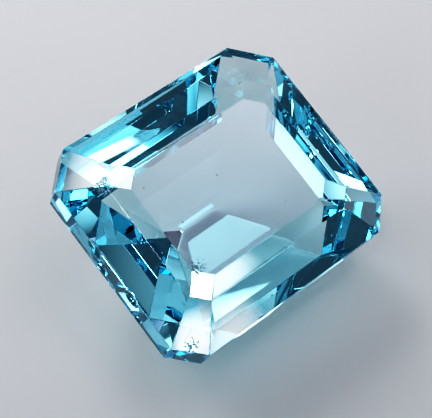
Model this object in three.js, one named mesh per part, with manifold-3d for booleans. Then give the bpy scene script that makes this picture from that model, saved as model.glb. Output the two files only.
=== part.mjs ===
// A loose faceted topaz: an octagonal step cut with a flat table, two crown tiers, a thick girdle and three
// pavilion tiers that close in a short keel. The stone lies tipped over on one long keel facet, as a loose
// stone of this cut does. Millimetres, +Z up, origin on the ground under the middle of the stone.
import * as THREE from "three";
import { ConvexGeometry } from "three/addons/geometries/ConvexGeometry.js";
import { mergeVertices } from "three/addons/utils/BufferGeometryUtils.js";
import Module from "manifold-3d";

// Cutting plan. Each level is an octagon across the stone: its length along X and width along Y, the legs of
// its 45 degree corners, its height above the upper girdle edge, and how far its middle is off the stone's
// axis. Levels are parallel, so every facet between two of them is flat. Near is -Y and left is -X.
const GIRDLE_LENGTH = 14.0;
const GIRDLE_WIDTH = 12.52;
const GIRDLE_DEPTH = 1.29;
const GIRDLE_SHIFT = [0.04, 0.07];
const GIRDLE_CORNERS = { farLeft: 1.67, nearLeft: 1.34, nearRight: 1.48, farRight: 1.78 };
const FLARE_LEFT = 0.2;
const TABLE = { length: 8.57, width: 6.54, corners: evenCorners(0.82), height: 1.08, shift: [0.17, 0] };
const CROWN_STEP = { length: 10.2, width: 8.36, corners: evenCorners(0.79), height: 0.87, shift: [0.14, -0.03] };
const GIRDLE_TOP = {
  length: GIRDLE_LENGTH,
  width: GIRDLE_WIDTH,
  corners: GIRDLE_CORNERS,
  height: 0,
  shift: GIRDLE_SHIFT,
};
const GIRDLE_BASE = {
  length: GIRDLE_LENGTH + FLARE_LEFT,
  width: GIRDLE_WIDTH,
  corners: GIRDLE_CORNERS,
  height: -GIRDLE_DEPTH,
  shift: [GIRDLE_SHIFT[0] - FLARE_LEFT / 2, GIRDLE_SHIFT[1]],
};
const PAVILION_RIM = {
  length: 13.66,
  width: 12.0,
  corners: { farLeft: 1.56, nearLeft: 1.28, nearRight: 1.38, farRight: 1.64 },
  height: -1.8,
  shift: [-0.06, 0.05],
};
const PAVILION_STEP = { length: 10.5, width: 8.04, corners: evenCorners(1.71), height: -4.1, shift: [-0.29, -0.43] };
const KEEL = { left: -1.74, right: 0.27, across: 0.08, height: -5.99 };

// Shallow chips broken out of the girdle on the left end of the stone and along its near edge.
const CHIP_DETAIL = 3;
const CHIPS = [
  { at: [-7.6, 1.25, -0.1], radii: [0.8, 0.95, 0.7], turn: 8 },
  { at: [-7.62, 0.42, -0.75], radii: [0.7, 0.75, 0.6], turn: -14 },
  { at: [-7.58, -1.75, -0.15], radii: [0.78, 0.85, 0.65], turn: 12 },
  { at: [-7.6, -2.6, -0.95], radii: [0.62, 0.6, 0.45], turn: -6 },
  { at: [-2.28, -6.53, 0.12], radii: [0.42, 0.5, 0.42], turn: 20 },
];
const MERGE_DISTANCE = 1e-4;

const wasm = await Module();
wasm.setup();

// Four corners with the same leg.
function evenCorners(leg) {
  return { farLeft: leg, nearLeft: leg, nearRight: leg, farRight: leg };
}

// The eight points of one level.
function octagon({ length, width, corners, height, shift }) {
  const [shiftX, shiftY] = shift;
  const x = length / 2;
  const y = width / 2;
  const quarters = [
    [-1, 1, corners.farLeft],
    [-1, -1, corners.nearLeft],
    [1, -1, corners.nearRight],
    [1, 1, corners.farRight],
  ];
  const points = [];
  for (const [sideX, sideY, leg] of quarters) {
    points.push(new THREE.Vector3(shiftX + sideX * x, shiftY + sideY * (y - leg), height));
    points.push(new THREE.Vector3(shiftX + sideX * (x - leg), shiftY + sideY * y, height));
  }
  return points;
}

// The stone as it left the wheel, before any damage.
function facetedStone() {
  const levels = [TABLE, CROWN_STEP, GIRDLE_TOP, GIRDLE_BASE, PAVILION_RIM, PAVILION_STEP];
  const points = levels.flatMap(octagon);
  points.push(new THREE.Vector3(KEEL.left, KEEL.across, KEEL.height));
  points.push(new THREE.Vector3(KEEL.right, KEEL.across, KEEL.height));
  return new ConvexGeometry(points);
}

// The hollow that one chip leaves: a flattened lump, sunk into the girdle.
function chipLump({ at, radii, turn }) {
  const lump = new THREE.IcosahedronGeometry(1, CHIP_DETAIL);
  lump.scale(...radii);
  lump.rotateX(THREE.MathUtils.degToRad(turn));
  lump.translate(...at);
  return lump;
}

// A closed geometry as a solid that can be cut.
function solidFrom(geometry) {
  const bare = geometry.clone();
  bare.deleteAttribute("normal");
  bare.deleteAttribute("uv");
  const merged = mergeVertices(bare, MERGE_DISTANCE);
  const mesh = new wasm.Mesh({
    numProp: 3,
    vertProperties: new Float32Array(merged.attributes.position.array),
    triVerts: new Uint32Array(merged.index.array),
  });
  return new wasm.Manifold(mesh);
}

// A solid as a geometry with flat faces.
function geometryFrom(solid) {
  const mesh = solid.getMesh();
  const indexed = new THREE.BufferGeometry();
  indexed.setAttribute("position", new THREE.BufferAttribute(mesh.vertProperties, 3));
  indexed.setIndex(new THREE.BufferAttribute(mesh.triVerts, 1));
  const geometry = indexed.toNonIndexed();
  geometry.computeVertexNormals();
  return geometry;
}

// The angle by which the stone tips over until its near long keel facet is flat on the ground.
function restAngle() {
  const run = PAVILION_STEP.width / 2 - PAVILION_STEP.shift[1] + KEEL.across;
  const rise = PAVILION_STEP.height - KEEL.height;
  return Math.atan2(rise, run);
}

// Tips a geometry over and sets it on the ground, centred over the origin.
function setDown(geometry) {
  geometry.rotateX(restAngle());
  geometry.computeBoundingBox();
  const middle = geometry.boundingBox.getCenter(new THREE.Vector3());
  geometry.translate(-middle.x, -middle.y, -geometry.boundingBox.min.z);
}

let stone = solidFrom(facetedStone());
for (const plan of CHIPS) {
  stone = stone.subtract(solidFrom(chipLump(plan)));
}
const geometry = geometryFrom(stone);
setDown(geometry);

const clearBlue = new THREE.MeshStandardMaterial({ color: 0x9fd8ee, roughness: 0.05, metalness: 0 });
const topaz = new THREE.Mesh(geometry, clearBlue);
topaz.name = "topaz";
const part = new THREE.Group();
part.add(topaz);

export default part;
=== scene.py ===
"""A loose step-cut topaz, finished, lit and framed.

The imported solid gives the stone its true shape. Here it gets softened facet edges and fine nicks, the polish,
hairlines and dust of a handled stone, the see-through body of pale blue topaz, and a plain pale floor under
soft studio light. Everything is in metres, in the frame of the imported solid.
"""

import logging
import math
import random
from dataclasses import dataclass
from enum import Enum

import bmesh
import bpy
from mathutils import Matrix, Vector

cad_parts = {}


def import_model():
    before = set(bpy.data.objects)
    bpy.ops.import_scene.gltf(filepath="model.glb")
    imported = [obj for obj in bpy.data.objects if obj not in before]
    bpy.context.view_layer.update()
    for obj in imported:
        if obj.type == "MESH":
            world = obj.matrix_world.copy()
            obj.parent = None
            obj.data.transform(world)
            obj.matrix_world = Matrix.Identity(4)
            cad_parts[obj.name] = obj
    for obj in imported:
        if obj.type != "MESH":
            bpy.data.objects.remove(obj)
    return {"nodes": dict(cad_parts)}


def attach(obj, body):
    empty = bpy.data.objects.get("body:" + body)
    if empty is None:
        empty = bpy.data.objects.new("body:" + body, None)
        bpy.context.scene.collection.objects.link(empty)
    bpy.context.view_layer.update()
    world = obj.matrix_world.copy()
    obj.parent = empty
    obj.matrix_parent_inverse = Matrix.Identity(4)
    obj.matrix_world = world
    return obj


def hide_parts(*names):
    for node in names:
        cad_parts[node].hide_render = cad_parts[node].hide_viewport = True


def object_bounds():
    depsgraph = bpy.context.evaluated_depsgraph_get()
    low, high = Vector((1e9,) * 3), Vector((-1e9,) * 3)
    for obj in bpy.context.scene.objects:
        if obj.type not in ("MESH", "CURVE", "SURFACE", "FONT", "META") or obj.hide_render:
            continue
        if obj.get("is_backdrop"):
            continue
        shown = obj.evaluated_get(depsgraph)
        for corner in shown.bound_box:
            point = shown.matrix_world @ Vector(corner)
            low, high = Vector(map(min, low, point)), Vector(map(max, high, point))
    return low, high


Colour = tuple[float, float, float]
Ridge = tuple[Vector, Vector]

MM = 0.001
STONE_NODE = "topaz"
NODE_STEP = 220

WHITE: Colour = (1.0, 1.0, 1.0)
ROSE_WHITE: Colour = (1.0, 0.62, 0.74)

# How far a softbox hangs from the stone, and the sizes that several of them share.
FAR = 0.5
NEAR = 0.2
NEAR_PANEL = (0.096, 0.0668)
SMALL_CARD = (0.06, 0.05)

log = logging.getLogger("topaz")


class Wear(Enum):
    """How a worn spot on the polish looks, named for the cell texture that draws it."""

    SPECKS = "F1"
    CRACKS = "DISTANCE_TO_EDGE"


@dataclass(frozen=True)
class GemFinish:
    """Polished pale blue topaz."""

    refraction: float = 1.62
    absorbed_tint: Colour = (0.0, 0.80, 0.965)
    absorption: float = 58.0
    clear: Colour = WHITE
    soiled: Colour = (0.12, 0.15, 0.18)
    polish: float = 0.0
    hairline: float = 0.06
    frosted: float = 0.3
    hairline_depth: float = 0.0006 * MM
    worn_depth: float = 0.02 * MM


@dataclass(frozen=True)
class FloorFinish:
    """Smooth matt pale board."""

    pale: Colour = (0.865, 0.885, 0.895)
    shade: Colour = (0.83, 0.86, 0.875)
    lint: Colour = (0.7, 0.72, 0.74)
    roughness: float = 0.7
    cloud_scale: float = 40.0


@dataclass(frozen=True)
class WornSpot:
    """A small patch where the polish is bruised or soiled.

    The centre is on the stone, in millimetres. The grain is the number of marks per metre.
    """

    centre: tuple[float, float, float]
    radius: float
    grain: float
    wear: Wear


@dataclass(frozen=True)
class Softbox:
    """One rectangular studio light that faces the stone.

    Azimuth 0 is along +X and turns towards +Y, and elevation is above the floor, both in degrees. The size is
    the width and the height.
    """

    name: str
    azimuth: float
    elevation: float
    size: tuple[float, float]
    radiance: float
    tint: Colour = WHITE
    distance: float = FAR


def heading(azimuth: float, elevation: float) -> Vector:
    """Gives the unit vector of a direction.

    Args:
        azimuth: Degrees from +X towards +Y.
        elevation: Degrees above the floor.

    Returns:
        The direction as a unit vector.
    """
    turn = math.radians(azimuth)
    rise = math.radians(elevation)
    return Vector((math.cos(turn) * math.cos(rise), math.sin(turn) * math.cos(rise), math.sin(rise)))


class NodeSheet:
    """Lays out nodes in one tree, from left to right."""

    def __init__(self, tree: bpy.types.NodeTree) -> None:
        """Starts an empty sheet.

        Args:
            tree: The node tree to fill.
        """
        self.tree = tree
        self.tree.nodes.clear()
        self.column = 0
        self.entry: bpy.types.Node | None = None
        self.exit: bpy.types.Node | None = None

    def add(self, kind: str, **settings: object) -> bpy.types.Node:
        """Adds one node and sets its properties.

        Args:
            kind: The node's type name.
            settings: Property values of the node.

        Returns:
            The new node.
        """
        node = self.tree.nodes.new(kind)
        node.location = (self.column * NODE_STEP, 0)
        self.column += 1
        for key, value in settings.items():
            setattr(node, key, value)
        return node

    def link(self, source: bpy.types.NodeSocket, target: bpy.types.NodeSocket) -> None:
        """Joins an output to an input."""
        self.tree.links.new(source, target)

    def math(self, operation: str, first: object, second: object = None) -> bpy.types.NodeSocket:
        """Adds a math node.

        Args:
            operation: The name of the operation.
            first: A socket or a number.
            second: A socket or a number, where the operation takes two.

        Returns:
            The node's output.
        """
        node = self.add("ShaderNodeMath", operation=operation)
        for place, value in enumerate((first, second)):
            if isinstance(value, bpy.types.NodeSocket):
                self.link(value, node.inputs[place])
            elif value is not None:
                node.inputs[place].default_value = value
        return node.outputs[0]

    def blend(self, share: bpy.types.NodeSocket, plain: object, marked: Colour) -> bpy.types.NodeSocket:
        """Mixes two colours.

        Args:
            share: How much of the second colour shows.
            plain: The first colour, or a socket that gives it.
            marked: The second colour.

        Returns:
            The mixed colour.
        """
        node = self.add("ShaderNodeMix", data_type="RGBA")
        self.link(share, node.inputs["Factor"])
        colours = [socket for socket in node.inputs if socket.type == "RGBA"]
        if isinstance(plain, bpy.types.NodeSocket):
            self.link(plain, colours[0])
        else:
            colours[0].default_value = (*plain, 1.0)
        colours[1].default_value = (*marked, 1.0)
        return next(socket for socket in node.outputs if socket.type == "RGBA")

    def group(self, tree: bpy.types.NodeTree, **values: object) -> bpy.types.Node:
        """Places a node group with its own values.

        Args:
            tree: The group.
            values: Values of its inputs, by name.

        Returns:
            The group's node.
        """
        node = self.add("ShaderNodeGroup", node_tree=tree)
        for label, value in values.items():
            node.inputs[label].default_value = value
        return node


class SurfaceEffects:
    """Shader node groups that give the masks and heights of wear and dust."""

    UPWARD = 0.2
    SCRATCH_DETAIL = 4.0
    SCRATCH_TURNS = ((0.3, 0.2, 0.5), (-0.2, 0.5, -0.9))
    REACH = {Wear.SPECKS: 0.6, Wear.CRACKS: 0.16}

    def __init__(self) -> None:
        """Builds each group once."""
        self.dust = self._dust()
        self.hairlines = self._hairlines()
        self.worn = {wear: self._worn_spot(wear) for wear in Wear}

    @staticmethod
    def _group(name: str, inputs: dict[str, object], outputs: tuple[str, ...]) -> NodeSheet:
        """Starts a group.

        Args:
            name: The group's name.
            inputs: Input names and their usual values, a number or three numbers each.
            outputs: Names of the outputs.

        Returns:
            A sheet that holds the group's input and output nodes.
        """
        tree = bpy.data.node_groups.new(name, "ShaderNodeTree")
        sheet = NodeSheet(tree)
        for label, usual in inputs.items():
            kind = "NodeSocketVector" if isinstance(usual, tuple) else "NodeSocketFloat"
            socket = tree.interface.new_socket(label, in_out="INPUT", socket_type=kind)
            socket.default_value = usual
        for label in outputs:
            tree.interface.new_socket(label, in_out="OUTPUT", socket_type="NodeSocketFloat")
        sheet.entry = sheet.add("NodeGroupInput")
        sheet.exit = sheet.add("NodeGroupOutput")
        return sheet

    def _dust(self) -> bpy.types.NodeTree:
        """Makes fine specks that settle on the faces that look up.

        Returns:
            The group, with a mask output.
        """
        sheet = self._group("settled_dust", {"Scale": 1500.0, "Amount": 0.1, "Speck": 0.2}, ("Mask",))
        place = sheet.add("ShaderNodeTexCoord")
        cells = sheet.add("ShaderNodeTexVoronoi", feature="F1")
        sheet.link(place.outputs["Object"], cells.inputs["Vector"])
        sheet.link(sheet.entry.outputs["Scale"], cells.inputs["Scale"])
        chance = sheet.add("ShaderNodeSeparateColor")
        sheet.link(cells.outputs["Color"], chance.inputs["Color"])
        chosen = sheet.math("LESS_THAN", chance.outputs["Red"], sheet.entry.outputs["Amount"])
        grain = sheet.math("LESS_THAN", cells.outputs["Distance"], sheet.entry.outputs["Speck"])
        geometry = sheet.add("ShaderNodeNewGeometry")
        upward = sheet.add("ShaderNodeSeparateXYZ")
        sheet.link(geometry.outputs["Normal"], upward.inputs["Vector"])
        settled = sheet.math("GREATER_THAN", upward.outputs["Z"], self.UPWARD)
        mask = sheet.math("MULTIPLY", sheet.math("MULTIPLY", chosen, grain), settled)
        sheet.link(mask, sheet.exit.inputs["Mask"])
        return sheet.tree

    def _hairlines(self) -> bpy.types.NodeTree:
        """Makes fine straight marks that polishing and handling leave.

        Returns:
            The group, with a mask and a height output.
        """
        names = {"Scale": 250.0, "Stretch": 0.04, "Cover": 0.3}
        sheet = self._group("handling_hairlines", names, ("Mask", "Height"))
        place = sheet.add("ShaderNodeTexCoord")
        marks = []
        for turn in self.SCRATCH_TURNS:
            aim = sheet.add("ShaderNodeVectorRotate", rotation_type="EULER_XYZ")
            aim.inputs["Rotation"].default_value = turn
            sheet.link(place.outputs["Object"], aim.inputs["Vector"])
            squeeze = sheet.add("ShaderNodeCombineXYZ")
            squeeze.inputs["Y"].default_value = 1.0
            squeeze.inputs["Z"].default_value = 1.0
            sheet.link(sheet.entry.outputs["Stretch"], squeeze.inputs["X"])
            drawn = sheet.add("ShaderNodeVectorMath", operation="MULTIPLY")
            sheet.link(aim.outputs["Vector"], drawn.inputs[0])
            sheet.link(squeeze.outputs["Vector"], drawn.inputs[1])
            noise = sheet.add("ShaderNodeTexNoise", noise_dimensions="3D")
            noise.inputs["Detail"].default_value = self.SCRATCH_DETAIL
            sheet.link(drawn.outputs["Vector"], noise.inputs["Vector"])
            sheet.link(sheet.entry.outputs["Scale"], noise.inputs["Scale"])
            marks.append(noise.outputs["Fac"])
        deepest = sheet.math("MINIMUM", marks[0], marks[1])
        scored = sheet.math("SUBTRACT", sheet.entry.outputs["Cover"], deepest)
        sheet.link(sheet.math("GREATER_THAN", scored, 0.0), sheet.exit.inputs["Mask"])
        sheet.link(sheet.math("MAXIMUM", scored, 0.0), sheet.exit.inputs["Height"])
        return sheet.tree

    def _worn_spot(self, wear: Wear) -> bpy.types.NodeTree:
        """Makes a small bruise that fades out from its centre.

        Args:
            wear: Specks that thin out, or cracks that run outwards.

        Returns:
            The group, with a mask output.
        """
        names = {"Centre": (0.0, 0.0, 0.0), "Radius": 0.001, "Grain": 8000.0}
        sheet = self._group(f"worn_{wear.name.lower()}", names, ("Mask",))
        place = sheet.add("ShaderNodeTexCoord")
        away = sheet.add("ShaderNodeVectorMath", operation="DISTANCE")
        sheet.link(place.outputs["Object"], away.inputs[0])
        sheet.link(sheet.entry.outputs["Centre"], away.inputs[1])
        spread = sheet.math("DIVIDE", away.outputs["Value"], sheet.entry.outputs["Radius"])
        nearness = sheet.math("MAXIMUM", sheet.math("SUBTRACT", 1.0, spread), 0.0)
        cells = sheet.add("ShaderNodeTexVoronoi", feature=wear.value)
        sheet.link(place.outputs["Object"], cells.inputs["Vector"])
        sheet.link(sheet.entry.outputs["Grain"], cells.inputs["Scale"])
        reach = sheet.math("MULTIPLY", nearness, self.REACH[wear])
        marked = sheet.math("LESS_THAN", cells.outputs["Distance"], reach)
        sheet.link(marked, sheet.exit.inputs["Mask"])
        return sheet.tree


@dataclass
class Stone:
    """The cut stone: its solid, its worn edges and its finish."""

    node: bpy.types.Object
    finish: GemFinish
    effects: SurfaceEffects
    spots: tuple[WornSpot, ...]
    merge_distance: float = 1e-4 * MM
    flat_angle: float = 0.3
    edge_width: float = 0.022 * MM
    edge_segments: int = 2
    edge_profile: float = 0.5
    facet_area: float = 0.35 * MM * MM
    nicks: int = 34
    nick_small: float = 0.03 * MM
    nick_large: float = 0.1 * MM
    nick_margin: float = 0.03
    nick_sink: float = 0.45
    nick_narrow: float = 0.7
    nick_wide: float = 1.5
    nick_tall: float = 1.2
    seed: int = 7

    def build(self) -> bpy.types.Object:
        """Copies the solid and wears its edges.

        Returns:
            The finished stone, riding on the root body in place of its solid.
        """
        mesh = self.node.data.copy()
        mesh.name = "polished_topaz"
        mesh.materials.clear()
        stone = bpy.data.objects.new("polished_topaz", mesh)
        bpy.context.scene.collection.objects.link(stone)
        ridges = self._soften_edges(mesh)
        self._nick_edges(stone, ridges)
        stone.data.materials.append(self.dress())
        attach(stone, "root")
        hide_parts(STONE_NODE)
        return stone

    def _soften_edges(self, mesh: bpy.types.Mesh) -> list[Ridge]:
        """Merges each facet into one face and takes the sharpness off the edges between facets.

        Args:
            mesh: The stone's mesh.

        Returns:
            The two ends of each edge between facets.
        """
        work = bmesh.new()
        work.from_mesh(mesh)
        bmesh.ops.remove_doubles(work, verts=work.verts, dist=self.merge_distance)
        flat = math.radians(self.flat_angle)
        bmesh.ops.dissolve_limit(work, angle_limit=flat, verts=work.verts[:], edges=work.edges[:])
        ridges = [edge for edge in work.edges if self._is_ridge(edge)]
        ends = [(edge.verts[0].co.copy(), edge.verts[1].co.copy()) for edge in ridges]
        bmesh.ops.bevel(
            work,
            geom=ridges,
            offset=self.edge_width,
            offset_type="OFFSET",
            segments=self.edge_segments,
            profile=self.edge_profile,
            affect="EDGES",
            clamp_overlap=False,
        )
        for face in work.faces:
            face.smooth = False
        work.to_mesh(mesh)
        work.free()
        return ends

    def _is_ridge(self, edge: bmesh.types.BMEdge) -> bool:
        """Says whether an edge lies between two facets, and not on a chip."""
        if len(edge.link_faces) != 2:
            return False
        return all(face.calc_area() > self.facet_area for face in edge.link_faces)

    def _nick_edges(self, stone: bpy.types.Object, ridges: list[Ridge]) -> None:
        """Breaks small nicks out of the edges between facets.

        Args:
            stone: The stone, with softened edges.
            ridges: The two ends of each edge between facets.
        """
        cutter = self._nick_cutter(ridges)
        cut = stone.modifiers.new("nicks", "BOOLEAN")
        cut.operation = "DIFFERENCE"
        cut.solver = "EXACT"
        cut.object = cutter
        worn = stone.evaluated_get(bpy.context.evaluated_depsgraph_get())
        whole = stone.data
        stone.data = bpy.data.meshes.new_from_object(worn)
        stone.data.name = whole.name
        stone.modifiers.clear()
        bpy.data.objects.remove(cutter)
        bpy.data.meshes.remove(whole)

    def _nick_cutter(self, ridges: list[Ridge]) -> bpy.types.Object:
        """Makes the lumps that the nicks take out.

        Args:
            ridges: The two ends of each edge between facets.

        Returns:
            One object with all the lumps.
        """
        chance = random.Random(self.seed)
        centre = sum((start + end for start, end in ridges), Vector()) / (2 * len(ridges))
        lengths = [(end - start).length for start, end in ridges]
        work = bmesh.new()
        for start, end in chance.choices(ridges, lengths, k=self.nicks):
            size = chance.uniform(self.nick_small, self.nick_large)
            spot = start.lerp(end, chance.uniform(self.nick_margin, 1.0 - self.nick_margin))
            spot += (spot - centre).normalized() * size * self.nick_sink
            limits = (self.nick_wide, self.nick_wide, self.nick_tall)
            stretch = Vector([chance.uniform(self.nick_narrow, limit) for limit in limits])
            turn = Matrix.Rotation(chance.uniform(0.0, math.tau), 4, "Z")
            shape = Matrix.Translation(spot) @ turn @ Matrix.Diagonal((*(stretch * size), 1.0))
            bmesh.ops.create_icosphere(work, subdivisions=1, radius=1.0, matrix=shape)
        mesh = bpy.data.meshes.new("nick_cutter")
        work.to_mesh(mesh)
        work.free()
        cutter = bpy.data.objects.new("nick_cutter", mesh)
        bpy.context.scene.collection.objects.link(cutter)
        return cutter

    def dress(self) -> bpy.types.Material:
        """Makes the stone's material.

        Returns:
            Clear refracting topaz with hairlines, worn spots and dust on its polish.
        """
        material = bpy.data.materials.new("clear_topaz")
        material.use_nodes = True
        sheet = NodeSheet(material.node_tree)
        output = sheet.add("ShaderNodeOutputMaterial")
        body = sheet.add("ShaderNodeBsdfPrincipled")
        body.inputs["IOR"].default_value = self.finish.refraction
        body.inputs["Transmission Weight"].default_value = 1.0
        sheet.link(body.outputs["BSDF"], output.inputs["Surface"])
        self._polish(sheet, body)
        depth = sheet.add("ShaderNodeVolumeAbsorption")
        depth.inputs["Color"].default_value = (*self.finish.absorbed_tint, 1.0)
        depth.inputs["Density"].default_value = self.finish.absorption
        sheet.link(depth.outputs["Volume"], output.inputs["Volume"])
        return material

    def _polish(self, sheet: NodeSheet, body: bpy.types.Node) -> None:
        """Marks the polish of the stone with its wear.

        Args:
            sheet: The material's node sheet.
            body: The shader to feed.
        """
        lines = sheet.group(self.effects.hairlines, Scale=420.0, Stretch=0.02, Cover=0.27)
        dust = sheet.group(self.effects.dust, Scale=1700.0, Amount=0.05, Speck=0.09)
        worn = None
        for spot in self.spots:
            mark = sheet.group(
                self.effects.worn[spot.wear],
                Centre=Vector(spot.centre) * MM,
                Radius=spot.radius * MM,
                Grain=spot.grain,
            ).outputs["Mask"]
            worn = mark if worn is None else sheet.math("MAXIMUM", worn, mark)
        soil = sheet.math("MAXIMUM", worn, dust.outputs["Mask"])
        sheet.link(sheet.blend(soil, self.finish.clear, self.finish.soiled), body.inputs["Base Color"])
        scored = sheet.math("MULTIPLY", lines.outputs["Mask"], self.finish.hairline)
        frosted = sheet.math("MULTIPLY", worn, self.finish.frosted)
        rough = sheet.math("ADD", sheet.math("ADD", scored, frosted), self.finish.polish)
        sheet.link(rough, body.inputs["Roughness"])
        shallow = sheet.math("MULTIPLY", lines.outputs["Height"], -self.finish.hairline_depth)
        deep = sheet.math("MULTIPLY", worn, -self.finish.worn_depth)
        bump = sheet.add("ShaderNodeBump")
        bump.inputs["Distance"].default_value = 1.0
        sheet.link(sheet.math("ADD", shallow, deep), bump.inputs["Height"])
        sheet.link(bump.outputs["Normal"], body.inputs["Normal"])


@dataclass
class Floor:
    """A plain pale board under the stone."""

    finish: FloorFinish
    effects: SurfaceEffects
    side: float = 1.2
    air_gap: float = 0.03 * MM

    def build(self) -> bpy.types.Object:
        """Makes the board.

        Returns:
            The floor, declared as stage.
        """
        mesh = bpy.data.meshes.new("floor")
        work = bmesh.new()
        bmesh.ops.create_grid(work, x_segments=1, y_segments=1, size=self.side / 2)
        work.to_mesh(mesh)
        work.free()
        floor = bpy.data.objects.new("floor", mesh)
        floor.location.z = -self.air_gap
        bpy.context.scene.collection.objects.link(floor)
        mesh.materials.append(self.dress())
        floor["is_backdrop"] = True
        return floor

    def dress(self) -> bpy.types.Material:
        """Makes the board's matt pale material.

        Returns:
            The material, with a faint cloudiness and a few specks of lint.
        """
        material = bpy.data.materials.new("pale_board")
        material.use_nodes = True
        sheet = NodeSheet(material.node_tree)
        output = sheet.add("ShaderNodeOutputMaterial")
        board = sheet.add("ShaderNodeBsdfPrincipled")
        board.inputs["Roughness"].default_value = self.finish.roughness
        noise = sheet.add("ShaderNodeTexNoise")
        noise.inputs["Scale"].default_value = self.finish.cloud_scale
        cloudy = sheet.blend(noise.outputs["Fac"], self.finish.pale, self.finish.shade)
        lint = sheet.group(self.effects.dust, Scale=700.0, Amount=0.004, Speck=0.07)
        dusty = sheet.blend(lint.outputs["Mask"], cloudy, self.finish.lint)
        sheet.link(dusty, board.inputs["Base Color"])
        sheet.link(board.outputs["BSDF"], output.inputs["Surface"])
        return material


@dataclass
class Studio:
    """Soft lights around the stone in a dim room.

    The feather gain keeps the light of a feathered softbox the same as that of an even one.
    """

    aim: Vector
    boxes: tuple[Softbox, ...]
    room: Colour = (0.085, 0.09, 0.105)
    bounces: int = 24
    feather_gain: float = 36.0

    def build(self) -> None:
        """Hangs each softbox and sets the room's own light."""
        for box in self.boxes:
            self._hang(box)
        scene = bpy.context.scene
        scene.view_settings.view_transform = "Standard"
        scene.cycles.max_bounces = self.bounces
        scene.cycles.transmission_bounces = self.bounces
        scene.cycles.glossy_bounces = self.bounces // 2
        world = bpy.data.worlds.new("studio")
        world.use_nodes = True
        world.node_tree.nodes["Background"].inputs["Color"].default_value = (*self.room, 1.0)
        scene.world = world

    def _hang(self, box: Softbox) -> bpy.types.Object:
        """Makes one light that faces the stone.

        Args:
            box: The light's place, size and strength.

        Returns:
            The light object.
        """
        width, height = box.size
        lamp = bpy.data.lights.new(box.name, "AREA")
        lamp.shape = "RECTANGLE"
        lamp.size = width
        lamp.size_y = height
        lamp.color = box.tint
        lamp.energy = box.radiance * math.pi * width * height
        self._feather(lamp)
        light = bpy.data.objects.new(box.name, lamp)
        bpy.context.scene.collection.objects.link(light)
        light.visible_camera = False
        away = heading(box.azimuth, box.elevation)
        light.location = self.aim + away * box.distance
        light.rotation_euler = away.to_track_quat("Z", "Y").to_euler()
        return light

    def _feather(self, lamp: bpy.types.AreaLight) -> None:
        """Makes a softbox brightest in its middle and faint at its rim.

        Args:
            lamp: The light to feather.
        """
        lamp.use_nodes = True
        sheet = NodeSheet(lamp.node_tree)
        face = sheet.add("ShaderNodeNewGeometry")
        place = sheet.add("ShaderNodeSeparateXYZ")
        sheet.link(face.outputs["Parametric"], place.inputs["Vector"])
        across = place.outputs["X"]
        up = place.outputs["Y"]
        wide = sheet.math("MULTIPLY", across, sheet.math("SUBTRACT", 1.0, across))
        tall = sheet.math("MULTIPLY", up, sheet.math("SUBTRACT", 1.0, up))
        glow = sheet.math("MULTIPLY", sheet.math("MULTIPLY", wide, tall), self.feather_gain)
        emission = sheet.add("ShaderNodeEmission")
        output = sheet.add("ShaderNodeOutputLight")
        sheet.link(glow, emission.inputs["Strength"])
        sheet.link(emission.outputs["Emission"], output.inputs["Surface"])


@dataclass
class Darkroom:
    """The print: a contrast curve on the finished picture.

    The knee, slope, offset and power are those of the usual display curve.
    """

    contrast: float = 0.65
    steps: int = 10
    middle: float = 0.5
    knee: float = 0.04045
    slope: float = 12.92
    offset: float = 0.055
    power: float = 2.4
    all_channels: int = 3

    def build(self) -> None:
        """Puts the curve between the picture and its output."""
        scene = bpy.context.scene
        scene.use_nodes = True
        sheet = NodeSheet(scene.node_tree)
        picture = sheet.add("CompositorNodeRLayers")
        curve = sheet.add("CompositorNodeCurveRGB")
        output = sheet.add("CompositorNodeComposite")
        points = curve.mapping.curves[self.all_channels].points
        for step in range(1, self.steps):
            shade = step / self.steps
            points.new(self._light(shade), self._light(self._pushed(shade)))
        curve.mapping.extend = "HORIZONTAL"
        curve.mapping.update()
        sheet.link(picture.outputs["Image"], curve.inputs["Image"])
        sheet.link(curve.outputs["Image"], output.inputs["Image"])

    def _pushed(self, shade: float) -> float:
        """Moves a shade away from middle grey."""
        push = 4.0 * self.contrast * shade * (1.0 - shade) * (shade - self.middle)
        return min(1.0, max(0.0, shade + push))

    def _light(self, shade: float) -> float:
        """Turns a shade as the eye sees it into an amount of light."""
        if shade <= self.knee:
            return shade / self.slope
        return ((shade + self.offset) / (1.0 + self.offset)) ** self.power


@dataclass
class PhotoCamera:
    """The camera, at the photograph's viewing angle."""

    aim: Vector
    azimuth: float
    elevation: float
    roll: float
    distance: float
    lens: float = 100.0
    nearest: float = 1.0 * MM

    def build(self) -> bpy.types.Object:
        """Sets up the camera.

        Returns:
            The scene's camera.
        """
        data = bpy.data.cameras.new("camera")
        data.lens = self.lens
        data.clip_start = self.nearest
        camera = bpy.data.objects.new("camera", data)
        bpy.context.scene.collection.objects.link(camera)
        away = heading(self.azimuth, self.elevation)
        place = Matrix.Translation(self.aim + away * self.distance)
        turn = away.to_track_quat("Z", "Y").to_matrix().to_4x4()
        roll = Matrix.Rotation(math.radians(self.roll), 4, "Z")
        camera.matrix_world = place @ turn @ roll
        bpy.context.scene.camera = camera
        return camera


def photo_camera() -> PhotoCamera:
    """Gives the camera its place.

    Returns:
        The camera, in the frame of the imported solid.
    """
    return PhotoCamera(
        aim=Vector((-0.115, 0.091, 3.972)) * MM,
        azimuth=233.92,
        elevation=52.31,
        roll=-4.05,
        distance=61.7 * MM,
    )


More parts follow.
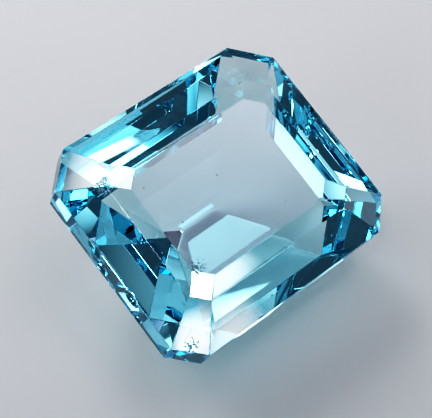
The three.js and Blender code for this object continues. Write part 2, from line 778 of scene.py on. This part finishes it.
def worn_spots() -> tuple[WornSpot, ...]:
    """Lists the bruises on the crown.

    Returns:
        The spots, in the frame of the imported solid.
    """
    return (
        WornSpot(centre=(-4.9, 2.45, 7.6), radius=0.55, grain=7000.0, wear=Wear.CRACKS),
        WornSpot(centre=(-3.8, -3.05, 5.53), radius=0.9, grain=11000.0, wear=Wear.SPECKS),
        WornSpot(centre=(-6.05, -5.28, 3.52), radius=0.65, grain=8500.0, wear=Wear.SPECKS),
    )


def room_lights() -> tuple[Softbox, ...]:
    """Lists the large lights around the stone.

    Returns:
        A strong low window behind the stone, and weaker lights to its sides and above it.
    """
    return (
        Softbox("low_window", azimuth=80.0, elevation=8.0, size=NEAR_PANEL, radiance=4.6, distance=NEAR),
        Softbox("low_window_end", azimuth=60.0, elevation=8.0, size=NEAR_PANEL, radiance=2.2, distance=NEAR),
        Softbox("high_window", azimuth=70.0, elevation=33.0, size=NEAR_PANEL, radiance=2.6, distance=NEAR),
        Softbox("back_left", azimuth=110.0, elevation=33.0, size=(0.12, 0.0835), radiance=1.7, distance=0.25),
        Softbox("back_left_low", azimuth=120.0, elevation=20.0, size=(0.25, 0.167), radiance=0.7),
        Softbox("back_middle", azimuth=72.0, elevation=20.0, size=(0.096, 0.04), radiance=1.0, distance=NEAR),
        Softbox("overhead_right", azimuth=0.0, elevation=62.0, size=NEAR_PANEL, radiance=0.6, distance=NEAR),
        Softbox("overhead_left", azimuth=120.0, elevation=62.0, size=(0.24, 0.167), radiance=0.3),
        Softbox("right_low", azimuth=20.0, elevation=8.0, size=NEAR_PANEL, radiance=1.9, distance=NEAR),
        Softbox("back_right_low", azimuth=40.0, elevation=8.0, size=NEAR_PANEL, radiance=0.9, distance=NEAR),
        Softbox("right", azimuth=340.0, elevation=20.0, size=(0.1, 0.0668), radiance=0.9, distance=NEAR),
        Softbox("right_side", azimuth=355.0, elevation=28.0, size=(0.1, 0.08), radiance=0.12),
        Softbox(
            "front_right_low",
            azimuth=318.0,
            elevation=6.0,
            size=(0.08, 0.048),
            radiance=1.0,
            distance=NEAR,
        ),
        Softbox("left", azimuth=185.0, elevation=29.0, size=(0.12, 0.09), radiance=1.7),
        Softbox("left_low", azimuth=177.0, elevation=18.0, size=(0.14, 0.1), radiance=0.3),
        Softbox("ceiling", azimuth=331.0, elevation=65.0, size=(0.22, 0.14), radiance=0.75, tint=ROSE_WHITE),
    )


def facet_cards() -> tuple[Softbox, ...]:
    """Lists the small cards that glint in single facets.

    Returns:
        The cards, named for the facets or the places in the stone that they light.
    """
    return (
        Softbox("right_band_card", azimuth=206.0, elevation=65.0, size=(0.08, 0.06), radiance=5.5),
        Softbox("left_patch_card", azimuth=175.0, elevation=38.0, size=SMALL_CARD, radiance=4.0),
        Softbox("front_card", azimuth=237.5, elevation=30.0, size=(0.06, 0.06), radiance=0.6),
        Softbox("girdle_card_far", azimuth=123.0, elevation=43.0, size=SMALL_CARD, radiance=0.8),
        Softbox("girdle_card_near", azimuth=3.0, elevation=50.0, size=SMALL_CARD, radiance=1.0),
        Softbox("left_crown_card", azimuth=114.5, elevation=68.3, size=(0.045, 0.03), radiance=3.8),
        Softbox("left_step_card", azimuth=32.0, elevation=84.0, size=(0.04, 0.04), radiance=3.5),
        Softbox("bottom_crown_card", azimuth=255.0, elevation=42.2, size=(0.03, 0.03), radiance=5.5),
        Softbox("bottom_step_card", azimuth=281.0, elevation=60.0, size=(0.045, 0.045), radiance=7.0),
        Softbox("near_crown_card", azimuth=289.0, elevation=22.2, size=(0.04, 0.02), radiance=3.5),
        Softbox("near_step_card", azimuth=297.5, elevation=45.0, size=(0.035, 0.028), radiance=4.2),
    )


def main() -> None:
    """Builds the camera, the stone, the floor and the lights."""
    logging.basicConfig(level=logging.INFO)
    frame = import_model()
    solid_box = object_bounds()
    middle = (solid_box[0] + solid_box[1]) / 2
    photo_camera().build()
    log.info("camera set")
    effects = SurfaceEffects()
    stone = Stone(frame["nodes"][STONE_NODE], GemFinish(), effects, worn_spots()).build()
    log.info("%s: %d faces", stone.name, len(stone.data.polygons))
    floor = Floor(FloorFinish(), effects).build()
    log.info("%s laid", floor.name)
    boxes = room_lights() + facet_cards()
    Studio(aim=middle, boxes=boxes).build()
    log.info("%d softboxes hung", len(boxes))
    Darkroom().build()
    log.info("contrast curve set")


if __name__ == "__main__":
    main()
